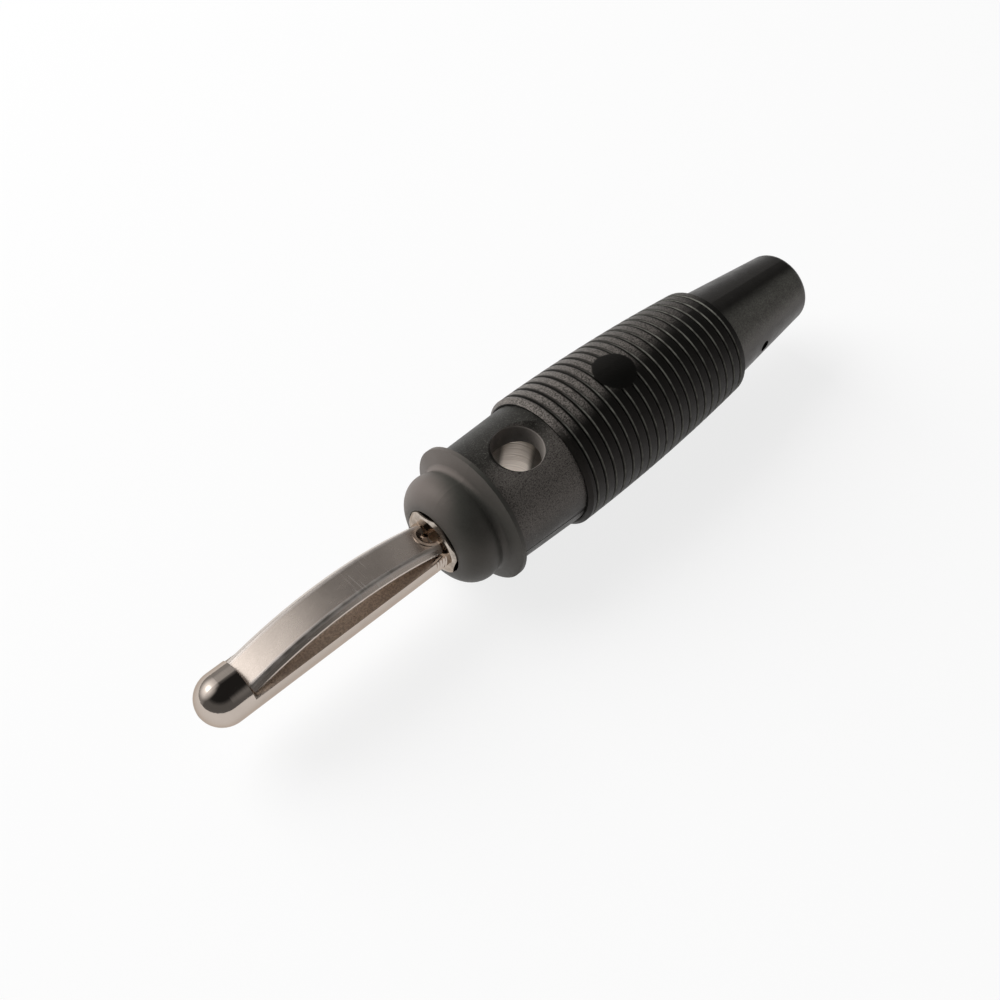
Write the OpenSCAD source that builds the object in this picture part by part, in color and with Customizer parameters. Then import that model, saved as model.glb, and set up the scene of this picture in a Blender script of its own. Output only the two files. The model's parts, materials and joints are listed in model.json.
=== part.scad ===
// Banana plug: a sprung contact pin, a soft nose, an insulated head with a cross socket,
// and a ribbed grip with a cable tail that unscrews from the metal terminal inside.
// The plug lies on its side: its axis runs along X, tip at -X and tail at +X.
// Stations are measured along that axis from the tip.

/* [Contact pin] */
// Diameter of the round contact pin
pin_d = 4; // [3.6:0.05:4.4]
// Length from the tip to the front face of the hexagon collar
pin_len = 20.5; // [18:0.1:24]
// Length from the tip over which the pin is fully round
tip_len = 3.4; // [2.6:0.1:5]
// Height of the milled flat above the pin's axis
flat_h = 0.5; // [0.2:0.05:0.8]
// Width of the hexagon collar across its flats
collar_af = 5; // [4.8:0.1:5.1]
// Thickness of the hexagon collar
collar_t = 1.6; // [1.2:0.1:2]
// Diameter to which the hexagon's corners are turned down
collar_corner_d = 5.36; // [5.2:0.02:5.6]
// Turn of the hexagon's corners about the axis
collar_turn = -15; // [-30:1:30]
// Diameter of the stud behind the collar
stud_d = 3; // [2.4:0.1:3.4]
// Length of the stud held in the terminal
stud_hold = 2.6; // [1.6:0.1:2.8]
// Number of fine turned grooves at the root of the pin
root_groove_count = 4; // [0:1:5]
// Spacing of the root grooves
root_groove_pitch = 0.26; // [0.2:0.02:0.3]
// Depth of the root grooves
root_groove_depth = 0.1; // [0.03:0.01:0.12]

/* [Leaf spring] */
// Thickness of the spring sheet
leaf_t = 0.25; // [0.15:0.01:0.35]
// Width of the flat top of the leaf
leaf_top_w = 2.5; // [2:0.05:2.8]
// Width of each folded edge
leaf_edge_w = 0.62; // [0.3:0.02:0.8]
// Fold angle of the edges
leaf_fold = 45; // [25:1:60]
// Bend radius of the two creases
leaf_crease_r = 0.35; // [0.1:0.05:0.5]
// Blunting of the folded edges' outer corner
leaf_blunt = 0.11; // [0.02:0.01:0.12]
// Height of the leaf's crown above the round of the pin
leaf_proud = 0.54; // [0.3:0.02:0.8]
// Radius of the drawn dish that seats the leaf's rear end on the pin
dimple_r = 1.15; // [1:0.05:1.2]
// Distance from the collar to the middle of the dish
dimple_back = 0.2; // [0.2:0.05:1.6]
// Radius of the hole in the dish
dimple_hole_r = 0.56; // [0.4:0.02:0.6]
// Depth of the hole drilled in the pin below the dish
punch_depth = 0.6; // [0.3:0.05:0.8]

/* [Nose] */
// Largest diameter of the nose's rounded dome
dome_d = 9.18; // [8.6:0.02:9.8]
// Radius of the dome's rounding
dome_r = 1.92; // [1.6:0.02:2]
// Diameter of the flared rim
rim_d = 11.5; // [11:0.1:12.4]
// Thickness of the rim's edge
rim_t = 0.35; // [0.2:0.05:0.6]
// Length of the nose from the dome's front to the rim's back face
nose_len = 4; // [3.6:0.1:4.6]
// Slope of the rim's front face
rim_slope = 20; // [10:1:30]
// Radius of the valley between dome and rim
valley_r = 0.45; // [0.3:0.05:0.6]
// How far the hexagon collar stands in front of the dome
collar_proud = 0.3; // [0.1:0.05:0.6]

/* [Head] */
// Diameter of the head behind the nose
head_front_d = 10.1; // [9.8:0.05:10.4]
// Diameter of the head at the grip
head_rear_d = 10.54; // [10.4:0.02:10.7]
// Length of the head that shows between nose and grip
head_len = 6.8; // [6.4:0.05:8]
// Wall of the moulded head
head_wall = 2.1; // [1.8:0.05:2.5]
// Length of the head that the grip covers
head_lap = 1; // [0.6:0.1:1.4]
// Round-over of the head's front edge
head_edge = 0.2; // [0.1:0.05:0.3]
// Width of the two fine parting seams along the head
seam_w = 0.12; // [0.06:0.02:0.2]
// Depth of the parting seams
seam_depth = 0.05; // [0.02:0.01:0.1]
// Turn of the parting seams about the plug's axis
seam_turn = -98; // [-180:1:180]

/* [Cross socket] */
// Diameter of the cross bore, drilled through head and terminal together
cross_d = 4; // [3.6:0.05:4.2]
// Distance from the nose to the cross bore's axis
cross_back = 3.95; // [3.6:0.05:4.4]
// Turn of the cross bore about the plug's axis
cross_turn = -8; // [-40:1:40]
// Bevel of the cross bore at the head's surface
cross_edge = 0.06; // [0.04:0.02:0.2]

/* [Terminal] */
// Diameter of the thread that carries the grip
thread_d = 7; // [6.4:0.1:7.4]
// Length of that thread
thread_len = 5.8; // [5.2:0.1:6.4]
// Diameter of the clamping shank
shank_d = 5.6; // [5.4:0.1:6]
// Length of the clamping shank
shank_len = 4.6; // [4:0.1:5]
// Diameter of the wire hole
wire_d = 2.6; // [2:0.1:2.8]
// Diameter of the clamp screw
screw_d = 2.5; // [2:0.1:2.8]
// Length of the clamp screw
screw_len = 1.4; // [1.2:0.05:1.4]
// Width of the clamp screw's slot
slot_w = 0.45; // [0.3:0.05:0.6]
// Depth of the clamp screw's slot
slot_depth = 0.55; // [0.3:0.05:0.7]

/* [Grip] */
// Largest diameter of the grip
grip_d = 11.5; // [11.2:0.1:12.2]
// Length of the grip
grip_len = 19.55; // [19:0.05:24]
// Distance from the grip's front to its thickest place
crown_back = 2; // [1:0.1:4]
// Radius of the grip's long barrel curve
barrel_r = 180; // [150:5:260]
// Number of grooves between the ribs
groove_count = 19; // [12:1:22]
// Width of each groove at the surface
groove_w = 0.26; // [0.2:0.02:0.5]
// Depth of each groove
groove_depth = 0.22; // [0.16:0.02:0.3]
// Rounding of the ribs' edges
rib_edge = 0.12; // [0.04:0.02:0.14]
// Distance from the grip's front to the first groove
groove_start = 0.75; // [0.5:0.05:1.2]
// Distance from the last groove to the grip's back
groove_end = 0.95; // [0.6:0.05:1.4]
// Radius of the smooth round pad among the ribs
pad_r = 1.8; // [1.2:0.1:2.2]
// Distance from the grip's front to the middle of the pad
pad_back = 7.5; // [5:0.1:12]
// Turn of the pad about the plug's axis
pad_turn = -6; // [-40:1:40]
// Round-over of the grip's two ends
grip_edge = 0.3; // [0.1:0.05:0.4]

/* [Tail] */
// Diameter of the tail where it leaves the grip
tail_front_d = 8.6; // [8.2:0.1:9]
// Diameter of the tail at its end
tail_end_d = 6.3; // [6:0.1:7]
// Length of the tail behind the grip
tail_len = 10.5; // [8:0.1:14]
// Rounding of the tail's end
tail_round = 0.7; // [0.3:0.05:0.9]
// Diameter of the cable hole
cable_d = 4; // [3:0.1:4.4]
// Diameter of the tail's neck inside the grip
neck_d = 6.6; // [6.2:0.1:6.8]
// Length of the neck inside the grip
neck_len = 6.6; // [5.8:0.1:7.4]
// Diameter of the bead that keeps the tail in the grip
bead_d = 7.4; // [7.2:0.05:7.5]
// Length of the bead
bead_len = 1.4; // [1:0.1:1.8]
// Diameter of the small side hole
side_hole_d = 1; // [0.8:0.1:1.6]
// Distance from the grip to the small side hole
side_hole_back = 3.8; // [2:0.1:6]
// Turn of the small side hole about the plug's axis
side_hole_turn = -92; // [-180:1:180]

/* [Clearances] */
// Gap between pieces that stay together
seat_gap = 0.03; // [0.01:0.01:0.06]
// Radial gap between pieces that turn in each other
run_gap = 0.06; // [0.03:0.01:0.1]
// Gap between end faces that move apart
face_gap = 0.1; // [0.05:0.01:0.2]

/* [Hidden] */
$fn = 96;
over = 1;
nickel = [0.78, 0.75, 0.71];
brass = [0.80, 0.74, 0.62];
soft_grey = [0.24, 0.23, 0.22];
satin_black = [0.14, 0.13, 0.13];
rib_black = [0.11, 0.10, 0.10];
tail_black = [0.13, 0.13, 0.12];

pin_r = pin_d / 2;
collar_hex_r = collar_af / sqrt(3);
collar_face_inset = 0.15;
collar_face_r = collar_af / 2 - collar_face_inset;
collar_bevel = 30;
rim_r = rim_d / 2;
grip_r = grip_d / 2;
axis_h = max(rim_r, grip_r);

// Stations of the faces where the pieces meet
dome_front_z = pin_len + collar_proud;
nose_back_z = dome_front_z + nose_len;
head_end_z = nose_back_z + head_len;
head_back_z = head_end_z + head_lap;
thread_end_z = head_back_z + thread_len;
shank_end_z = thread_end_z + shank_len;
grip_end_z = head_end_z + grip_len;
tail_end_z = grip_end_z + face_gap + tail_len;
plug_len = tail_end_z;

// Inside of the nose: a round pocket for the collar, a web behind it and a socket for the terminal
pocket_r = collar_corner_d / 2 + seat_gap;
collar_back_z = pin_len + collar_t;
web_t = 1.2;
spigot_wall = 1.2;
web_front_z = collar_back_z;
web_back_z = web_front_z + web_t;
spigot_r = stud_d / 2 + spigot_wall;

// Dome and rim outline of the nose
dome_c = [dome_d / 2 - dome_r, dome_front_z + dome_r];
rim_front = [rim_r, nose_back_z - rim_t];
rim_dir = [-cos(rim_slope), -sin(rim_slope)];
rim_normal = [sin(rim_slope), -cos(rim_slope)];
valley_from = rim_front + valley_r * rim_normal - dome_c;
valley_b = valley_from * rim_dir;
valley_t = -valley_b - sqrt(valley_b * valley_b - valley_from * valley_from + pow(dome_r + valley_r, 2));
valley_c = dome_c + valley_from + valley_t * rim_dir;
valley_on_rim = valley_c - valley_r * rim_normal;
valley_on_dome = dome_c + (valley_c - dome_c) * dome_r / (dome_r + valley_r);

// Barrel of the terminal and the cross bore through it
core_r = head_rear_d / 2 - head_wall;
cross_z = nose_back_z + cross_back;
cross_r = cross_d / 2;
screw_z = thread_end_z + shank_len / 2;
screw_sunk = 0.05;
screw_top_r = shank_d / 2 - screw_sunk;
screw_turn = cross_turn;

// Leaf: a folded strip bent to one long arc whose two ends land on the pin's flat,
// with a dish drawn down to the flat at its rear end
leaf_front_z = tip_len + face_gap;
leaf_back_z = pin_len - face_gap;
leaf_drop = leaf_edge_w * sin(leaf_fold);
leaf_half_w = leaf_top_w / 2 + leaf_edge_w * cos(leaf_fold);
leaf_crown_h = pin_r + leaf_proud;
leaf_end_h = flat_h + seat_gap + leaf_drop + leaf_t * cos(leaf_fold);
leaf_rise = leaf_crown_h - leaf_end_h;
leaf_half_len = (leaf_back_z - leaf_front_z) / 2;
bow_r = (pow(leaf_half_len, 2) + pow(leaf_rise, 2)) / (2 * leaf_rise);
bow_angle = asin(leaf_half_len / bow_r);
bow_spare = 2;
crease_steps = 3;
bow_mid_z = (leaf_front_z + leaf_back_z) / 2;
bow_c_h = leaf_crown_h - bow_r;
dimple_z = pin_len - dimple_back;
dimple_angle = asin((dimple_z - bow_mid_z) / bow_r);
punch_r = dimple_hole_r - 2 * seat_gap;
dimple_foot_w = 0.2;
dimple_lip = 0.04;
dimple_foot_r = dimple_hole_r + dimple_foot_w;
dimple_h = bow_c_h + bow_r * cos(dimple_angle) - flat_h - seat_gap;
dimple_depth = dimple_h / cos(dimple_angle) - dimple_foot_r * tan(dimple_angle);

// Barrel outline of the grip and its inner steps
barrel_c = [grip_r - barrel_r, head_end_z + crown_back];
function barrel_at(z) = barrel_c[0] + sqrt(barrel_r * barrel_r - pow(z - barrel_c[1], 2));
groove_half_angle = atan(groove_w / 2 / groove_depth);
groove_edge = (rib_edge + (groove_depth - rib_edge) * sin(groove_half_angle)) / cos(groove_half_angle);
rib_edge_steps = 3;
function rib_edge_at(step, side) =
    let (turn = (90 - groove_half_angle) * step / rib_edge_steps)
    [rib_edge * (cos(turn) - 1), side * (groove_edge - rib_edge * sin(turn))];
groove_pitch = (grip_len - groove_start - groove_end) / (groove_count - 1);
mouth_r = head_rear_d / 2 + run_gap;
mouth_z = head_back_z + face_gap;
grip_bore_r = thread_d / 2 + run_gap;
bead_ease = 0.2;
cavity_r = bead_d / 2 + bead_ease;
cavity_front_z = thread_end_z + face_gap;
neck_r = neck_d / 2;
lip_r = neck_r + run_gap;
neck_front_z = grip_end_z + face_gap - neck_len;
bead_back_z = neck_front_z + bead_len;
lip_front_z = bead_back_z + face_gap;
tail_slope = (tail_front_d - tail_end_d) / 2 / tail_len;

// Lays a piece on its side: its own Z becomes the plug's axis, its own X points up
module lay() {
    translate([-plug_len / 2, 0, axis_h]) rotate(a = 180, v = [1, 0, 1]) children();
}

// Stands a piece out from the axis at a station, its own Z pointing outwards
module outwards(z, turn) {
    translate([0, 0, z]) rotate([0, 0, -turn]) rotate([0, 90, 0]) children();
}

module pin_outline() {
    intersection() {
        translate([0, pin_r]) circle(r = pin_r);
        square([pin_r, pin_r]);
    }
    difference() {
        translate([0, pin_r]) square([pin_r, pin_len - pin_r]);
        for (i = [1 : 1 : root_groove_count])
            translate([pin_r, pin_len - i * root_groove_pitch])
                polygon([[-root_groove_depth, 0], [over, -over], [over, over]]);
    }
}

module collar() {
    corner_r = collar_corner_d / 2;
    bevel_h = (corner_r - collar_face_r) * tan(collar_bevel);
    intersection() {
        rotate([0, 0, -collar_turn]) cylinder(r = collar_hex_r, h = collar_t, $fn = 6);
        rotate_extrude() polygon([[0, 0], [collar_face_r, 0], [corner_r, bevel_h], [corner_r, collar_t],
                                  [0, collar_t]]);
    }
}

module contact_pin() {
    color(nickel) lay() {
        difference() {
            rotate_extrude() pin_outline();
            translate([flat_h, -pin_d, tip_len]) cube([pin_d, 2 * pin_d, pin_len]);
            at_dimple() translate([0, 0, -dimple_depth - punch_depth]) cylinder(r = punch_r, h = 2 * over);
        }
        translate([0, 0, pin_len]) collar();
        translate([0, 0, collar_back_z]) cylinder(d = stud_d, h = web_t + stud_hold);
    }
}

module leaf_section() {
    half_in = leaf_top_w / 2 - leaf_t * tan(leaf_fold / 2);
    foot = [bow_r - leaf_drop, leaf_half_w];
    foot_in = foot - leaf_t * [cos(leaf_fold), sin(leaf_fold)];
    blunt_top = foot + leaf_blunt * [sin(leaf_fold), -cos(leaf_fold)];
    blunt_low = foot - leaf_blunt * [cos(leaf_fold), sin(leaf_fold)];
    crease_c = [bow_r - leaf_crease_r, leaf_top_w / 2 - leaf_crease_r * tan(leaf_fold / 2)];
    crease = [for (i = [0 : crease_steps]) let (turn = leaf_fold * i / crease_steps)
        crease_c + leaf_crease_r * [cos(turn), sin(turn)]];
    side = concat(crease, [blunt_top, blunt_low, foot_in, [bow_r - leaf_t, half_in]]);
    polygon(concat(side, [for (i = [len(side) - 1 : -1 : 0]) [side[i][0], -side[i][1]]]));
}

// Puts a piece at the middle of the leaf's arc, its own X pointing out at an angle along the arc
module on_bow(angle) {
    translate([bow_c_h, 0, bow_mid_z]) rotate([0, -angle, 0]) children();
}

// Puts a piece on the leaf where the dish is drawn, its own Z along the leaf's outward normal
module at_dimple() {
    on_bow(dimple_angle) translate([bow_r, 0, 0]) rotate([0, 90, 0]) children();
}

// The arc runs past the leaf's rear end, which is cut square across strip and dish together
module leaf_bow() {
    on_bow(-bow_angle) rotate([90, 0, 0])
        rotate_extrude(angle = 2 * bow_angle + bow_spare) leaf_section();
}

module dimple() {
    rotate_extrude() polygon([[dimple_r, dimple_lip], [dimple_r, -leaf_t / 2],
                              [dimple_foot_r, -dimple_depth], [dimple_hole_r, -dimple_depth],
                              [dimple_hole_r, leaf_t - dimple_depth], [dimple_r - leaf_t, dimple_lip]]);
}

module leaf_spring() {
    color(nickel) lay() difference() {
        union() {
            difference() {
                leaf_bow();
                at_dimple() translate([0, 0, -over]) cylinder(r = dimple_r - leaf_t, h = 2 * over);
            }
            at_dimple() dimple();
        }
        on_bow(bow_angle) translate([0, -pin_d, 0]) cube([2 * bow_r, 2 * pin_d, pin_d]);
    }
}

module nose_outline() {
    difference() {
        union() {
            translate(dome_c) circle(r = dome_r);
            polygon([[0, dome_front_z], [dome_c[0], dome_front_z], dome_c, valley_on_dome, valley_c,
                     valley_on_rim, rim_front, [rim_r, nose_back_z], [0, nose_back_z]]);
        }
        translate(valley_c) circle(r = valley_r);
        square([stud_d / 2 + seat_gap, nose_back_z + over]);
        translate([0, web_back_z]) square([spigot_r + seat_gap, nose_len]);
    }
}

module nose_ring() {
    color(soft_grey) lay() difference() {
        rotate_extrude() nose_outline();
        cylinder(r = pocket_r, h = web_front_z);
    }
}

// A strip of the head's skin as wide as a parting seam
module seam(front_r, rear_r) {
    angle = seam_w / rear_r * 180 / PI;
    rotate([0, 0, -angle / 2]) rotate_extrude(angle = angle)
        polygon([[front_r - seam_depth, nose_back_z], [front_r + over, nose_back_z],
                 [rear_r + over, head_end_z], [rear_r - seam_depth, head_end_z]]);
}

module head_shell() {
    bore_r = core_r + seat_gap;
    front_r = head_front_d / 2;
    rear_r = head_rear_d / 2;
    hole_skin_r = front_r + (rear_r - front_r) * cross_back / head_len;
    hole_lift = sqrt(pow(hole_skin_r, 2) - pow(cross_r, 2));
    color(satin_black) lay() difference() {
        rotate_extrude() polygon([[bore_r, nose_back_z], [front_r - head_edge, nose_back_z],
                                  [front_r, nose_back_z + head_edge], [rear_r, head_end_z],
                                  [rear_r, head_back_z], [bore_r, head_back_z]]);
        outwards(cross_z, cross_turn) translate([0, 0, -grip_r]) cylinder(r = cross_r, h = grip_d);
        for (turn = [cross_turn, cross_turn + 180])
            outwards(cross_z, turn) translate([0, 0, hole_lift - cross_edge])
                cylinder(r1 = cross_r, r2 = cross_r + over, h = over);
        for (turn = [seam_turn, seam_turn + 180]) rotate([0, 0, -turn]) seam(front_r, rear_r);
    }
}

module terminal() {
    color(brass) lay() difference() {
        rotate_extrude() polygon([[0, web_back_z], [spigot_r, web_back_z], [spigot_r, nose_back_z],
                                  [core_r, nose_back_z], [core_r, head_back_z],
                                  [thread_d / 2, head_back_z], [thread_d / 2, thread_end_z],
                                  [shank_d / 2, thread_end_z], [shank_d / 2, shank_end_z],
                                  [0, shank_end_z]]);
        translate([0, 0, web_back_z - over])
            cylinder(d = stud_d + 2 * seat_gap, h = stud_hold + over + face_gap);
        outwards(cross_z, cross_turn) translate([0, 0, -grip_r]) cylinder(r = cross_r, h = grip_d);
        translate([0, 0, head_back_z]) cylinder(d = wire_d, h = shank_end_z);
        outwards(screw_z, screw_turn) cylinder(d = screw_d + 2 * run_gap, h = grip_r);
    }
}

module clamp_screw() {
    color(nickel) lay() outwards(screw_z, screw_turn) difference() {
        translate([0, 0, screw_top_r - screw_len]) cylinder(d = screw_d, h = screw_len);
        translate([-screw_d, -slot_w / 2, screw_top_r - slot_depth]) cube([2 * screw_d, slot_w, over]);
    }
}

module grip_barrel() {
    difference() {
        intersection() {
            translate(barrel_c) circle(r = barrel_r, $fn = 360);
            translate([0, head_end_z]) square([grip_r + over, grip_len]);
        }
        for (z = [head_end_z, grip_end_z])
            translate([barrel_at(z), z]) rotate(45) square(grip_edge * sqrt(2), center = true);
    }
}

// A groove square to the barrel's curve, with the edges of the ribs beside it rounded
module groove(z) {
    near_side = [for (i = [rib_edge_steps : -1 : 0]) rib_edge_at(i, 1)];
    far_side = [for (i = [0 : rib_edge_steps]) rib_edge_at(i, -1)];
    translate([barrel_at(z), z]) rotate(asin((z - barrel_c[1]) / barrel_r))
        polygon(concat([[-groove_depth, 0]], near_side, [[over, groove_edge], [over, -groove_edge]],
                       far_side));
}

module grip_outline() {
    difference() {
        grip_barrel();
        for (i = [0 : groove_count - 1]) groove(head_end_z + groove_start + i * groove_pitch);
        translate([0, head_end_z - over]) square([mouth_r, mouth_z - head_end_z + over]);
        square([grip_bore_r, cavity_front_z + over]);
        translate([0, cavity_front_z]) square([cavity_r, lip_front_z - cavity_front_z]);
        square([lip_r, tail_end_z]);
    }
}

module grip_sleeve() {
    pad_floor_r = (grip_r + cavity_r) / 2;
    color(rib_black) lay() {
        rotate_extrude() grip_outline();
        intersection() {
            rotate_extrude() difference() {
                grip_barrel();
                square([pad_floor_r, tail_end_z]);
            }
            outwards(head_end_z + pad_back, pad_turn) cylinder(r = pad_r, h = grip_d);
        }
    }
}

module tail_outline() {
    front_z = grip_end_z + face_gap;
    round_z = tail_end_z - tail_round;
    round_r = tail_end_d / 2 + tail_slope * tail_round;
    difference() {
        union() {
            polygon([[0, front_z], [tail_front_d / 2, front_z], [round_r, round_z],
                     [round_r - tail_round, tail_end_z], [0, tail_end_z]]);
            translate([round_r - tail_round, round_z]) circle(r = tail_round);
            translate([0, neck_front_z]) square([neck_r, neck_len + over / 2]);
            translate([0, neck_front_z]) square([bead_d / 2, bead_len]);
        }
        square([cable_d / 2, tail_end_z + over]);
    }
}

module tail_sleeve() {
    color(tail_black) lay() difference() {
        rotate_extrude() tail_outline();
        outwards(grip_end_z + side_hole_back, side_hole_turn) cylinder(d = side_hole_d, h = grip_r);
    }
}

contact_pin();
leaf_spring();
nose_ring();
head_shell();
terminal();
clamp_screw();
grip_sleeve();
tail_sleeve();
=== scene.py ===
"""Dresses the banana plug: camera, light, floor and a procedural finish for every piece."""
import json
import math

import bpy
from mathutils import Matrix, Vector


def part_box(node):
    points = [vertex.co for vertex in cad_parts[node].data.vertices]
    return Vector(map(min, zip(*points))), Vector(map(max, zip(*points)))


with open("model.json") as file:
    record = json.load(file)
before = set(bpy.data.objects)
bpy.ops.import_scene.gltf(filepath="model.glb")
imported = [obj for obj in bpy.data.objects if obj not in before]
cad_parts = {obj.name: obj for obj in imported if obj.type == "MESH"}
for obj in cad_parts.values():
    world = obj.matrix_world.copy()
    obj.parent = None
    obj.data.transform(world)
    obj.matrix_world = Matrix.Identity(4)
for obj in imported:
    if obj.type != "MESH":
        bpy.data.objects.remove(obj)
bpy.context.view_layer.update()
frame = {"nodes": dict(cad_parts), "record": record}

MM = 0.001
TIP_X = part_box("contact_pin")[0][0]
AXIS_H = (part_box("grip_sleeve")[0][2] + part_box("grip_sleeve")[1][2]) / 2
MOUNTS = {mount["name"]: mount for mount in frame["record"]["mounts"]}
CROSS_DIR = Vector(MOUNTS["cross_socket"]["axis"])
CROSS_POS = Vector(MOUNTS["cross_socket"]["pos_m"])
CROSS_RADIUS = MOUNTS["cross_socket"]["dims"]["r_mm"] * MM

# Camera, placed as fitted to the photograph: its place is counted from the plug's tip

IMAGE_PX = 1000
FOCAL_PX = 1162.1
SENSOR_MM = 36
CLIP_START = 0.005
CLIP_END = 10
CAMERA_FROM_TIP_MM = Vector((-10.80, -40.28, 74.84))
CAMERA_ELEVATION = math.radians(51.54)
CAMERA_HEADING = math.radians(43.6)


def make_camera():
    data = bpy.data.cameras.new("camera")
    data.sensor_width = SENSOR_MM
    data.lens = SENSOR_MM * FOCAL_PX / IMAGE_PX
    data.clip_start = CLIP_START
    data.clip_end = CLIP_END
    camera = bpy.data.objects.new("camera", data)
    camera.location = Vector((TIP_X, 0, 0)) + CAMERA_FROM_TIP_MM * MM
    camera.rotation_euler = (math.pi / 2 - CAMERA_ELEVATION, 0, -CAMERA_HEADING)
    bpy.context.scene.collection.objects.link(camera)
    bpy.context.scene.camera = camera


# Node helpers


class Tree:
    """Short calls for building one node tree."""

    def __init__(self, tree):
        self.tree = tree

    def node(self, kind, inputs=None, **settings):
        made = self.tree.nodes.new(kind)
        for name, value in settings.items():
            setattr(made, name, value)
        for socket, value in (inputs or {}).items():
            self.put(made.inputs[socket], value)
        return made

    def put(self, socket, value):
        if isinstance(value, bpy.types.NodeSocket):
            self.tree.links.new(value, socket)
        else:
            socket.default_value = value

    def coords(self):
        return self.node("ShaderNodeTexCoord").outputs["Object"]

    def axes(self):
        """The three object coordinates, one socket each."""
        return self.split(self.coords())

    def facing(self):
        return self.node("ShaderNodeNewGeometry").outputs["Normal"]

    def stretched(self, scale):
        """Object coordinates scaled by a different factor along each axis."""
        return self.node("ShaderNodeMapping", {"Vector": self.coords(), "Scale": scale}).outputs["Vector"]

    def noise(self, size_mm, detail=3.0, rough=0.55, vector=None, distort=0.0):
        settings = {"Vector": vector or self.coords(), "Scale": 1 / (size_mm * MM), "Detail": detail,
                    "Roughness": rough, "Distortion": distort}
        return self.node("ShaderNodeTexNoise", settings).outputs["Fac"]

    def math(self, operation, a, b=0.0, clamp=False):
        return self.node("ShaderNodeMath", {0: a, 1: b}, operation=operation, use_clamp=clamp).outputs[0]

    def times(self, first, *others):
        product = first
        for other in others:
            product = self.math("MULTIPLY", product, other)
        return product

    def span(self, value, low, high, to_low=0.0, to_high=1.0, soft=False):
        """Maps a value from one range to another, held at both ends."""
        inputs = {"Value": value, "From Min": low, "From Max": high, "To Min": to_low, "To Max": to_high}
        kind = "SMOOTHSTEP" if soft else "LINEAR"
        return self.node("ShaderNodeMapRange", inputs, interpolation_type=kind).outputs["Result"]

    def within(self, value, low, high, edge):
        """One between two values, fading to nothing over the edge's width inside them."""
        return self.times(self.span(value, low, low + edge), self.span(value, high, high - edge))

    def dot(self, vector, direction):
        made = self.node("ShaderNodeVectorMath", {0: vector, 1: direction}, operation="DOT_PRODUCT")
        return made.outputs["Value"]

    def split(self, vector):
        return self.node("ShaderNodeSeparateXYZ", {0: vector}).outputs

    def mix(self, factor, a, b):
        made = self.node("ShaderNodeMix", data_type="RGBA")
        self.put(made.inputs[0], factor)
        self.put(made.inputs[6], a)
        self.put(made.inputs[7], b)
        return made.outputs[2]

    def bump(self, height, depth_mm, normal=None):
        inputs = {"Height": height, "Distance": depth_mm * MM, "Strength": 1.0}
        if normal is not None:
            inputs["Normal"] = normal
        return self.node("ShaderNodeBump", inputs).outputs["Normal"]


def grey(level, tint=(1.0, 1.0, 1.0)):
    return tuple(level * t for t in tint) + (1.0,)


def start_material(name):
    material = bpy.data.materials.new(name)
    material.use_nodes = True
    tree = Tree(material.node_tree)
    shader = material.node_tree.nodes["Principled BSDF"]
    return material, tree, shader


# Masks that metal and plastic share, and the two ranges of a noise that are stretched to the full one

WIDE = (0.3, 0.7)
NARROW = (0.35, 0.65)
WALL_REACH = 0.06 * MM
WALL_SURE = 0.02 * MM


def looking(t, direction, low, high):
    """One on the faces that look in a direction, fading to nothing on those that look away from it."""
    return t.span(t.dot(t.facing(), direction), low, high, soft=True)


def from_line(t, start, way):
    """How far a point lies along a line from its start, and how far from the line."""
    apart = t.node("ShaderNodeVectorMath", {0: t.coords(), 1: start}, operation="SUBTRACT").outputs[0]
    beside = t.node("ShaderNodeVectorMath", {0: apart, 1: way}, operation="CROSS_PRODUCT").outputs[0]
    distance = t.node("ShaderNodeVectorMath", {0: beside}, operation="LENGTH").outputs["Value"]
    return t.dot(apart, way), distance


def cross_wall(t):
    """One on the wall of the cross hole."""
    distance = from_line(t, CROSS_POS, CROSS_DIR)[1]
    return t.span(distance, CROSS_RADIUS + WALL_REACH, CROSS_RADIUS + WALL_SURE)


# Metal

NICKEL = (1.0, 0.87, 0.77)
SAND = (1.0, 0.88, 0.77)
BARE = (1.0, 0.92, 0.86)
EDGE_TINT = (0.66, 0.60, 0.55, 1.0)
PIN_TONES = grey(0.47, NICKEL), grey(0.59, NICKEL)
SANDY_TONES = grey(0.62, SAND), grey(1.0, SAND)
COLLAR_TONES = grey(0.32, SAND), grey(0.56, SAND)
# Painted light, pale and matt, in the hole under the leaf's dish
HOLE_PAINTED_LIGHT = grey(0.92, SAND)
LEAF_TONES = grey(0.50, NICKEL), grey(0.70, NICKEL)
LEAF_RUBBED = grey(0.84, BARE)
BORE_TONES = grey(0.62, SAND), grey(0.98, SAND)
# Painted shade, a dark reflection, on the sides of the cross bore
BORE_PAINTED_SHADE = grey(0.14, SAND)
SCREW_TONES = grey(0.40), grey(0.58)

# Where the marks on the pin, the leaf and the bore lie

FLAT_H = AXIS_H + 0.5 * MM
FLAT_BAND = 0.2 * MM
FLAT_END_FADE = (0.8 * MM, 1.6 * MM)
COLLAR_X = TIP_X + 20.5 * MM
COLLAR_FADE = 0.1 * MM
HOLE_DEPTH = 0.6 * MM
HOLE_SKIN = 0.01 * MM
HOLE_FRONT = 1.0 * MM
HOLE_BACK = 0.6 * MM
HOLE_SIDE_FADE = (0.8 * MM, 0.7 * MM)
MARK_FADE = (0.26 * MM, 0.10 * MM)
MARK_DEPTH_FADE = (0.10 * MM, 0.05 * MM)
LEAF_MID_X = sum(corner[0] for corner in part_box("leaf_spring")) / 2
SCUFF_ZONE = (0.5 * MM, 4.5 * MM)
SCUFF_FADE = 1.0 * MM
CREASE_Y = 1.20 * MM
CREASE_FADE = (0.24 * MM, 0.10 * MM)
RING_SIZE = 0.16 * MM
RING_WANDER = 0.2 * MM
BORE_LIT_DIR = Vector((-0.80, -0.59, -0.08)).normalized()

# How the noise is drawn out: along the plug, round it, and across the leaf

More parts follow.
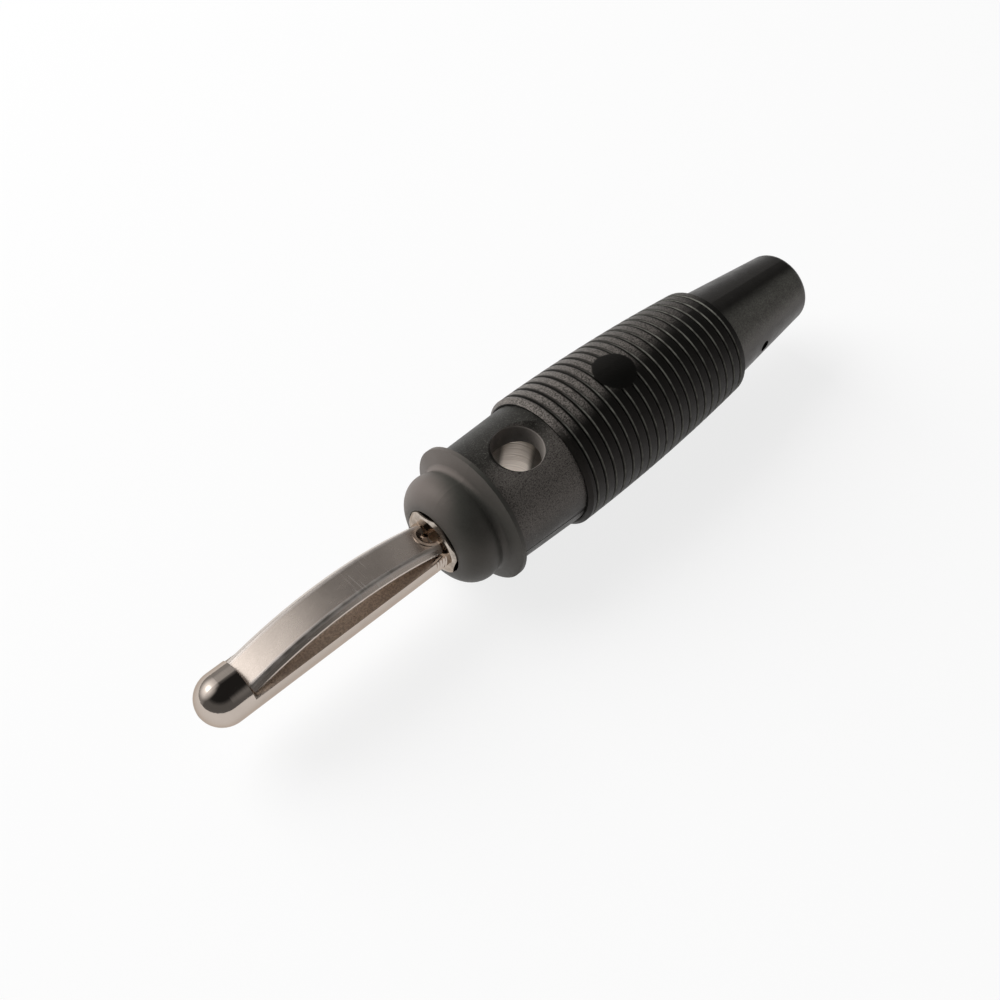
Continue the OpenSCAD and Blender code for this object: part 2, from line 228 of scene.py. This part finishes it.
ALONG_PIN = (0.06, 1, 1)
ALONG_LEAF = (0.05, 1, 1)
ROUND_PIN = (1, 0.02, 0.02)
ACROSS_LEAF = (1, 0.08, 0.08)


def milled_flat(t):
    """One on the milled flat in front of the collar."""
    place = t.axes()
    level = t.span(t.split(t.facing())["Z"], 0.97, 0.99)
    height = t.within(place["Z"], FLAT_H - FLAT_BAND, FLAT_H + FLAT_BAND, FLAT_BAND / 2)
    end, full = FLAT_END_FADE
    return t.times(level, height, t.span(place["X"], COLLAR_X - end, COLLAR_X - full))


def punched_hole(t):
    """One inside the hole below the leaf's dish."""
    place = t.axes()
    height = t.within(place["Z"], AXIS_H - HOLE_DEPTH, FLAT_H - HOLE_SKIN, HOLE_SKIN)
    along = t.within(place["X"], COLLAR_X - HOLE_FRONT, COLLAR_X + HOLE_BACK, COLLAR_FADE)
    return t.times(height, along, t.span(t.math("ABSOLUTE", place["Y"]), *HOLE_SIDE_FADE))


def lathe_mark(t):
    """One on the small matt mark in the middle of the pin's tip."""
    along, distance = from_line(t, (TIP_X, 0, AXIS_H), (1, 0, 0))
    return t.times(t.span(distance, *MARK_FADE), t.span(along, *MARK_DEPTH_FADE))


def plated_pin():
    """Bright nickel: turning lines, scratches, sandy tarnish on the milled flat, pale matt painted light
    in the hole.
    """
    material, t, shader = start_material("plated_pin")
    cloud = t.noise(size_mm=1.6, detail=4)
    scratch = t.noise(size_mm=0.16, detail=2, vector=t.stretched(ALONG_PIN))
    turning = t.noise(size_mm=0.07, detail=1, vector=t.stretched(ROUND_PIN))
    flat = milled_flat(t)
    hole = punched_hole(t)
    tarnish = t.times(flat, t.span(t.noise(size_mm=0.25, detail=4, rough=0.7), *NARROW, 0.45, 1.0))
    collar = t.span(t.axes()["X"], COLLAR_X - COLLAR_FADE, COLLAR_X)
    shader.inputs["Specular Tint"].default_value = EDGE_TINT
    t.put(shader.inputs["Metallic"], t.math("SUBTRACT", 1.0, hole))
    bright = t.mix(cloud, *PIN_TONES)
    sandy = t.mix(t.span(t.noise(size_mm=0.14, rough=0.8), 0.42, 0.58), *SANDY_TONES)
    worn = t.mix(tarnish, bright, sandy)
    # Painted light: the hole is pale and matt, lighter than its shade
    worn = t.mix(hole, worn, HOLE_PAINTED_LIGHT)
    streaky = t.mix(t.span(t.noise(size_mm=0.5), *NARROW), *COLLAR_TONES)
    t.put(shader.inputs["Base Color"], t.mix(collar, worn, streaky))
    rough = t.span(t.times(cloud, scratch), 0.1, 0.5, 0.05, 0.13)
    dull = t.math("ADD", t.times(tarnish, 0.45), t.times(hole, 0.45))
    dull = t.math("ADD", dull, t.times(lathe_mark(t), 0.5))
    t.put(shader.inputs["Roughness"], t.math("ADD", rough, dull))
    lines = t.bump(turning, depth_mm=0.0012)
    milled = t.bump(t.times(turning, flat), depth_mm=0.03, normal=lines)
    t.put(shader.inputs["Normal"], t.bump(scratch, depth_mm=0.002, normal=milled))
    return material


def leaf_wear(t):
    """Where the strip is rubbed: short marks across it behind its crown, and its creases."""
    place = t.axes()
    behind = t.math("SUBTRACT", place["X"], LEAF_MID_X)
    zone = t.within(behind, *SCUFF_ZONE, SCUFF_FADE)
    streaks = t.noise(size_mm=0.20, detail=1, vector=t.stretched(ACROSS_LEAF))
    marks = t.span(streaks, 0.62, 0.74, 0.0, 0.7)
    crease = t.math("ABSOLUTE", t.math("SUBTRACT", t.math("ABSOLUTE", place["Y"]), CREASE_Y))
    patchy = t.span(t.noise(size_mm=1.2, detail=2), *NARROW, 0.45, 1.0)
    edges = t.times(t.span(crease, *CREASE_FADE, soft=True), patchy)
    return t.math("ADD", t.times(zone, marks), edges, clamp=True)


def plated_leaf():
    """Satin nickel strip: fine lengthwise grain, darker blotches and rubbed marks."""
    material, t, shader = start_material("plated_leaf")
    cloud = t.span(t.noise(size_mm=1.8, detail=5, distort=0.4), *WIDE)
    grain = t.noise(size_mm=0.07, rough=0.7)
    along = t.noise(size_mm=0.07, detail=2, vector=t.stretched(ALONG_LEAF))
    wear = leaf_wear(t)
    shader.inputs["Metallic"].default_value = 1.0
    mottle = t.times(t.math("ADD", cloud, t.span(grain, *WIDE)), 0.5)
    t.put(shader.inputs["Base Color"], t.mix(wear, t.mix(mottle, *LEAF_TONES), LEAF_RUBBED))
    rough = t.span(t.math("ADD", cloud, along), 0.3, 1.6, 0.20, 0.30)
    t.put(shader.inputs["Roughness"], t.math("ADD", rough, t.times(wear, 0.28)))
    fine = t.bump(grain, depth_mm=0.002)
    t.put(shader.inputs["Normal"], t.bump(along, depth_mm=0.0015, normal=fine))
    return material


def plated_bore():
    """Plated terminal: the drill's rings run round the cross bore, with painted shade, a dark reflection,
    on the bore's wall beside the part that looks to the front and near side.
    """
    material, t, shader = start_material("plated_bore")
    # Painted shade: darker on the bore's wall except where it looks to the front and near side
    painted_shade = t.times(cross_wall(t), looking(t, BORE_LIT_DIR, 0.90, 0.74))
    depth = t.math("ADD", t.dot(t.coords(), CROSS_DIR), t.times(t.noise(size_mm=1.5), RING_WANDER))
    settings = {"W": t.math("DIVIDE", depth, RING_SIZE), "Scale": 1.0, "Detail": 2.0}
    rings = t.node("ShaderNodeTexNoise", settings, noise_dimensions="1D").outputs["Fac"]
    cloud = t.noise(size_mm=1.2)
    shader.inputs["Metallic"].default_value = 1.0
    t.put(shader.inputs["Base Color"], t.mix(painted_shade, t.mix(rings, *BORE_TONES), BORE_PAINTED_SHADE))
    t.put(shader.inputs["Roughness"], t.span(cloud, *WIDE, 0.28, 0.42))
    t.put(shader.inputs["Normal"], t.bump(rings, depth_mm=0.022))
    return material


def plain_screw():
    """Plain steel grub screw with a fine grain."""
    material, t, shader = start_material("plain_screw")
    cloud = t.noise(size_mm=0.6)
    shader.inputs["Metallic"].default_value = 1.0
    t.put(shader.inputs["Base Color"], t.mix(cloud, *SCREW_TONES))
    t.put(shader.inputs["Roughness"], t.span(cloud, *WIDE, 0.25, 0.45))
    t.put(shader.inputs["Normal"], t.bump(t.noise(size_mm=0.08, detail=2), depth_mm=0.005))
    return material


# Plastic

BLACK = (1.0, 1.0, 0.88)
WARM_TINT = (1.0, 0.86, 0.78)
LIT_TINT = (1.0, 0.90, 0.82)
GRIP_TONES = grey(0.003, BLACK), grey(0.008, BLACK)
# Painted light for the lit upper side of the grip
GRIP_PAINTED_LIGHT = grey(0.19, LIT_TINT)
# Painted glints on the rib edges of the grip
GRIP_EDGE_GLINT = grey(0.17, BLACK)
PAD_TONE = grey(0.004, BLACK)
NOSE_TONES = grey(0.040, BLACK), grey(0.054, BLACK)
# Painted light on the nose's faces towards the light
NOSE_PAINTED_LIGHT = grey(0.115, WARM_TINT)
HEAD_TONES = grey(0.006, BLACK), grey(0.022, BLACK)
# Painted light on the head's faces towards the near side and up
HEAD_PAINTED_LIGHT = grey(0.26, LIT_TINT)
HEAD_SPECK = grey(0.12, BLACK)
# Painted light on the wall of the cross hole
HEAD_HOLE_PAINTED_LIGHT = grey(0.19, LIT_TINT)
TAIL_TONES = grey(0.004, BLACK), grey(0.009, BLACK)
# Painted light on the tail's faces towards the near side and up
TAIL_PAINTED_LIGHT = grey(0.17, BLACK)

# Which faces get painted light, and where the grip's grooves and pad lie

GRIP_LIT_DIR = Vector((0, 0.77, 0.64)).normalized()
NOSE_LIT_DIR = Vector((-0.55, 0.65, 0.52)).normalized()
NEAR_LIT_DIR = Vector((0, -0.72, 0.69)).normalized()
GRIP_FRONT_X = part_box("grip_sleeve")[0][0]
GRIP_BACK_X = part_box("grip_sleeve")[1][0]
GROOVE_START = 0.75 * MM
GROOVE_END = 0.95 * MM
GROOVE_STEPS = 18
PAD_X = GRIP_FRONT_X + 7.5 * MM
PAD_TURN = math.radians(-6)
PAD_RADIUS = 1.8 * MM
PAD_FADE = 0.10 * MM
PAD_RAGGED = 0.15 * MM


class Plastic:
    """Moulded plastic: patchy colour and gloss over a fine grain, with what a piece adds to it."""

    def __init__(self, name, tones, rough, patch_mm, grain_mm, grain_depth_mm, specular=0.5):
        self.material, self.t, self.shader = start_material(name)
        t = self.t
        self.patch = t.span(t.noise(patch_mm, detail=4, distort=0.3), *WIDE)
        self.grain = t.noise(grain_mm, detail=2, rough=0.6)
        spread = t.times(t.math("ADD", self.patch, t.span(self.grain, *WIDE)), 0.5)
        self.colour = t.mix(spread, *tones)
        self.gloss = t.span(t.math("ADD", self.patch, self.grain), 0.3, 1.5, *rough)
        self.shader.inputs["Specular IOR Level"].default_value = specular
        self.shader.inputs["Specular Tint"].default_value = grey(1.0, WARM_TINT)
        t.put(self.shader.inputs["Normal"], t.bump(self.grain, grain_depth_mm))

    def lay(self, mask, colour):
        self.colour = self.t.mix(mask, self.colour, colour)

    def polish(self, mask, amount):
        self.gloss = self.t.math("SUBTRACT", self.gloss, self.t.times(mask, amount))

    def done(self):
        self.t.put(self.shader.inputs["Base Color"], self.colour)
        self.t.put(self.shader.inputs["Roughness"], self.gloss)
        return self.material


def painted_light_on_grip(t):
    """Painted light: one on the faces of the grip that look up and to the far side, where the light falls,
    on fewer of them towards its back.
    """
    back = t.span(t.axes()["X"], GRIP_FRONT_X, GRIP_BACK_X, 0.0, 0.50)
    side = t.span(t.math("SUBTRACT", t.dot(t.facing(), GRIP_LIT_DIR), back), 0.12, 0.42, soft=True)
    return t.times(side, t.span(t.split(t.facing())["Z"], 0.0, 0.40))


def from_groove(t):
    """How far behind the nearest groove of the grip a point lies, in spacings of the grooves."""
    first = GRIP_FRONT_X + GROOVE_START
    pitch = (GRIP_BACK_X - GROOVE_END - first) / GROOVE_STEPS
    step = t.math("DIVIDE", t.math("SUBTRACT", t.axes()["X"], first), pitch)
    return t.math("SUBTRACT", step, t.math("ROUND", step))


def pad_mask(t):
    """One on the round pad among the ribs."""
    out = Vector((0, math.sin(PAD_TURN), math.cos(PAD_TURN)))
    along, distance = from_line(t, (PAD_X, 0, AXIS_H), out)
    ragged = t.math("ADD", distance, t.times(t.noise(size_mm=0.35, detail=2), PAD_RAGGED))
    return t.times(t.span(ragged, PAD_RADIUS + PAD_FADE, PAD_RADIUS), t.span(along, 0, MM))


def ribbed_grip():
    """Matte black grip: painted light on its lit upper side, painted glints on the rib edges elsewhere, a
    blacker, glossier pad.
    """
    made = Plastic("ribbed_grip", GRIP_TONES, rough=(0.42, 0.54), patch_mm=1.0, grain_mm=0.12,
                   grain_depth_mm=0.016, specular=0.22)
    t = made.t
    pad = pad_mask(t)
    lit_side = painted_light_on_grip(t)
    groove = from_groove(t)
    # Painted light: the crests of the ribs on the lit side, fading towards the back
    crown = t.span(t.math("ABSOLUTE", groove), 0.11, 0.26)
    fading_back = t.span(t.axes()["X"], GRIP_FRONT_X, GRIP_BACK_X, 1.0, 0.35)
    speckled = t.span(made.grain, 0.38, 0.62, 0.20, 1.0)
    made.lay(t.times(lit_side, crown, fading_back, speckled), GRIP_PAINTED_LIGHT)
    # Painted highlight: thin pale lines on the rib edges that face the front, away from the lit side
    unlit_side = t.math("SUBTRACT", 1.0, lit_side)
    edges = t.within(groove, 0.06, 0.20, 0.05)
    uneven = t.span(t.noise(size_mm=0.8), 0.35, 0.6, 0.4, 1.0)
    made.lay(t.times(edges, unlit_side, uneven), GRIP_EDGE_GLINT)
    made.lay(pad, PAD_TONE)
    made.polish(pad, 0.12)
    return made.done()


def soft_nose():
    """Soft matte ring, with warm, greyer painted light on its faces that look to the front, the far side
    and up.
    """
    made = Plastic("soft_nose", NOSE_TONES, rough=(0.46, 0.60), patch_mm=2.5, grain_mm=0.12,
                   grain_depth_mm=0.008)
    # Painted light, warm and grey, on the faces that look to the front, the far side and up
    made.lay(looking(made.t, NOSE_LIT_DIR, 0.35, 1.0), NOSE_PAINTED_LIGHT)
    return made.done()


def satin_head():
    """Satin head with a fine light speckle, painted light on its faces towards the near side and up, and
    painted light on the wall of the cross hole.
    """
    made = Plastic("satin_head", HEAD_TONES, rough=(0.36, 0.52), patch_mm=1.4, grain_mm=0.09,
                   grain_depth_mm=0.022, specular=0.36)
    t = made.t
    # Painted light: lighter on the faces that look to the near side and up, where more light falls
    rubbed = looking(t, NEAR_LIT_DIR, 0.70, 1.0)
    made.lay(t.times(rubbed, t.span(made.grain, *WIDE)), HEAD_PAINTED_LIGHT)
    made.lay(t.span(made.grain, 0.55, 0.80), HEAD_SPECK)
    # Painted light: the wall of the cross hole is lighter than its shade
    made.lay(cross_wall(t), HEAD_HOLE_PAINTED_LIGHT)
    return made.done()


def smooth_tail():
    """Semi-gloss tail, unevenly polished, with a patchy band of painted light on its faces towards the
    near side and up.
    """
    made = Plastic("smooth_tail", TAIL_TONES, rough=(0.30, 0.50), patch_mm=0.9, grain_mm=0.14,
                   grain_depth_mm=0.012)
    t = made.t
    made.polish(made.patch, 0.06)
    # Painted light: a patchy light band on the faces that look to the near side and up
    rubbed = looking(t, NEAR_LIT_DIR, 0.84, 0.99)
    patchy = t.span(made.patch, 0.0, 1.0, 0.6, 1.0)
    speckled = t.span(made.grain, *WIDE, 0.4, 1.0)
    made.lay(t.times(rubbed, patchy, speckled), TAIL_PAINTED_LIGHT)
    return made.done()


def make_materials():
    return {
        "contact_pin": plated_pin(),
        "leaf_spring": plated_leaf(),
        "terminal": plated_bore(),
        "clamp_screw": plain_screw(),
        "nose_ring": soft_nose(),
        "head_shell": satin_head(),
        "grip_sleeve": ribbed_grip(),
        "tail_sleeve": smooth_tail(),
    }


def dress_nodes():
    for name, material in make_materials().items():
        for slot in frame["nodes"][name].material_slots:
            slot.material = material


# Floor, and a studio that is bright on one side and dark round the camera

FLOOR_RADIUS = 0.6
FLOOR_SIDES = 64
FLOOR_COLOUR = grey(0.95)
FLOOR_SHADOW = 0.2
WHITE = grey(1.0)
DARK_LEVEL = 0.02
KEY_DIR = Vector((-0.40, 0.65, 0.65)).normalized()
KEY_SPREAD = (0.76, 1.0)
KEY_FALL = 1.5
KEY_LEVEL = 1.35
CORE_SPREAD = (0.972, 0.994)
CORE_LEVEL = 1.05
SIDE_SPREAD = (0.25, 0.45)
SIDE_LEVEL = 0.22
RIGHT_DIR = Vector((0.60, -0.68, 0.42)).normalized()
RIGHT_SPREAD = (0.84, 0.99)
RIGHT_LEVEL = 0.27
HORIZON_SPREAD = (0.75, 0.45)
HORIZON_LEVEL = 0.12
LAMP_DIR = Vector((-0.30, 0.75, 0.58)).normalized()
LAMP_DISTANCE = 0.70
LAMP_SIZE = 0.60
LAMP_RADIANCE = 5.2


def floor_material():
    material = bpy.data.materials.new("pale_floor")
    material.use_nodes = True
    material.node_tree.nodes.clear()
    t = Tree(material.node_tree)
    path = t.node("ShaderNodeLightPath").outputs
    seen = t.math("ADD", path["Is Camera Ray"], path["Is Glossy Ray"])
    seen = t.math("ADD", seen, path["Is Transmission Ray"], clamp=True)
    shade = t.node("ShaderNodeBsdfDiffuse", {"Color": FLOOR_COLOUR})
    white = t.node("ShaderNodeEmission", {"Color": WHITE, "Strength": 1.0})
    share = t.times(seen, 1 - FLOOR_SHADOW)
    mixed = t.node("ShaderNodeMixShader", {0: share, 1: shade.outputs[0], 2: white.outputs[0]})
    t.node("ShaderNodeOutputMaterial", {"Surface": mixed.outputs[0]})
    return material


def make_floor():
    turns = [2 * math.pi * k / FLOOR_SIDES for k in range(FLOOR_SIDES)]
    rim = [(FLOOR_RADIUS * math.cos(turn), FLOOR_RADIUS * math.sin(turn), 0.0) for turn in turns]
    mesh = bpy.data.meshes.new("floor")
    mesh.from_pydata(rim, [], [tuple(range(FLOOR_SIDES))])
    mesh.materials.append(floor_material())
    floor = bpy.data.objects.new("floor", mesh)
    bpy.context.scene.collection.objects.link(floor)


def make_world():
    """A soft bright patch, weaker ones beside it and on the right, and a glow along the horizon."""
    world = bpy.data.worlds.new("studio")
    world.use_nodes = True
    t = Tree(world.node_tree)
    way = t.node("ShaderNodeTexCoord").outputs["Generated"]
    axes = t.split(way)
    to_key = t.dot(way, KEY_DIR)
    key = t.times(t.math("POWER", t.span(to_key, *KEY_SPREAD), KEY_FALL), KEY_LEVEL)
    core = t.span(to_key, *CORE_SPREAD, 0.0, CORE_LEVEL, soft=True)
    side = t.span(axes["Y"], *SIDE_SPREAD, 0.0, SIDE_LEVEL, soft=True)
    right = t.span(t.dot(way, RIGHT_DIR), *RIGHT_SPREAD, 0.0, RIGHT_LEVEL, soft=True)
    horizon = t.span(axes["Z"], *HORIZON_SPREAD, DARK_LEVEL, DARK_LEVEL + HORIZON_LEVEL, soft=True)
    total = key
    for patch in (core, side, right, horizon):
        total = t.math("ADD", total, patch)
    to_camera = t.node("ShaderNodeLightPath").outputs["Is Camera Ray"]
    hidden = t.times(total, t.math("SUBTRACT", 1.0, to_camera))
    background = world.node_tree.nodes["Background"]
    background.inputs["Color"].default_value = WHITE
    t.put(background.inputs["Strength"], t.math("ADD", hidden, to_camera))
    bpy.context.scene.world = world


def make_lamp():
    """One large lamp beside the bright patch tops up the light level, with no reflection of its own."""
    data = bpy.data.lights.new("soft_lamp", "AREA")
    data.shape = "SQUARE"
    data.size = LAMP_SIZE
    data.energy = math.pi * LAMP_SIZE * LAMP_SIZE * LAMP_RADIANCE
    lamp = bpy.data.objects.new("soft_lamp", data)
    lamp.location = LAMP_DIR * LAMP_DISTANCE
    lamp.rotation_euler = (-lamp.location).to_track_quat("-Z", "Y").to_euler()
    lamp.visible_glossy = False
    bpy.context.scene.collection.objects.link(lamp)


make_camera()
make_floor()
make_world()
make_lamp()
dress_nodes()

bpy.context.scene.view_settings.view_transform = "Standard"
bpy.context.view_layer.update()
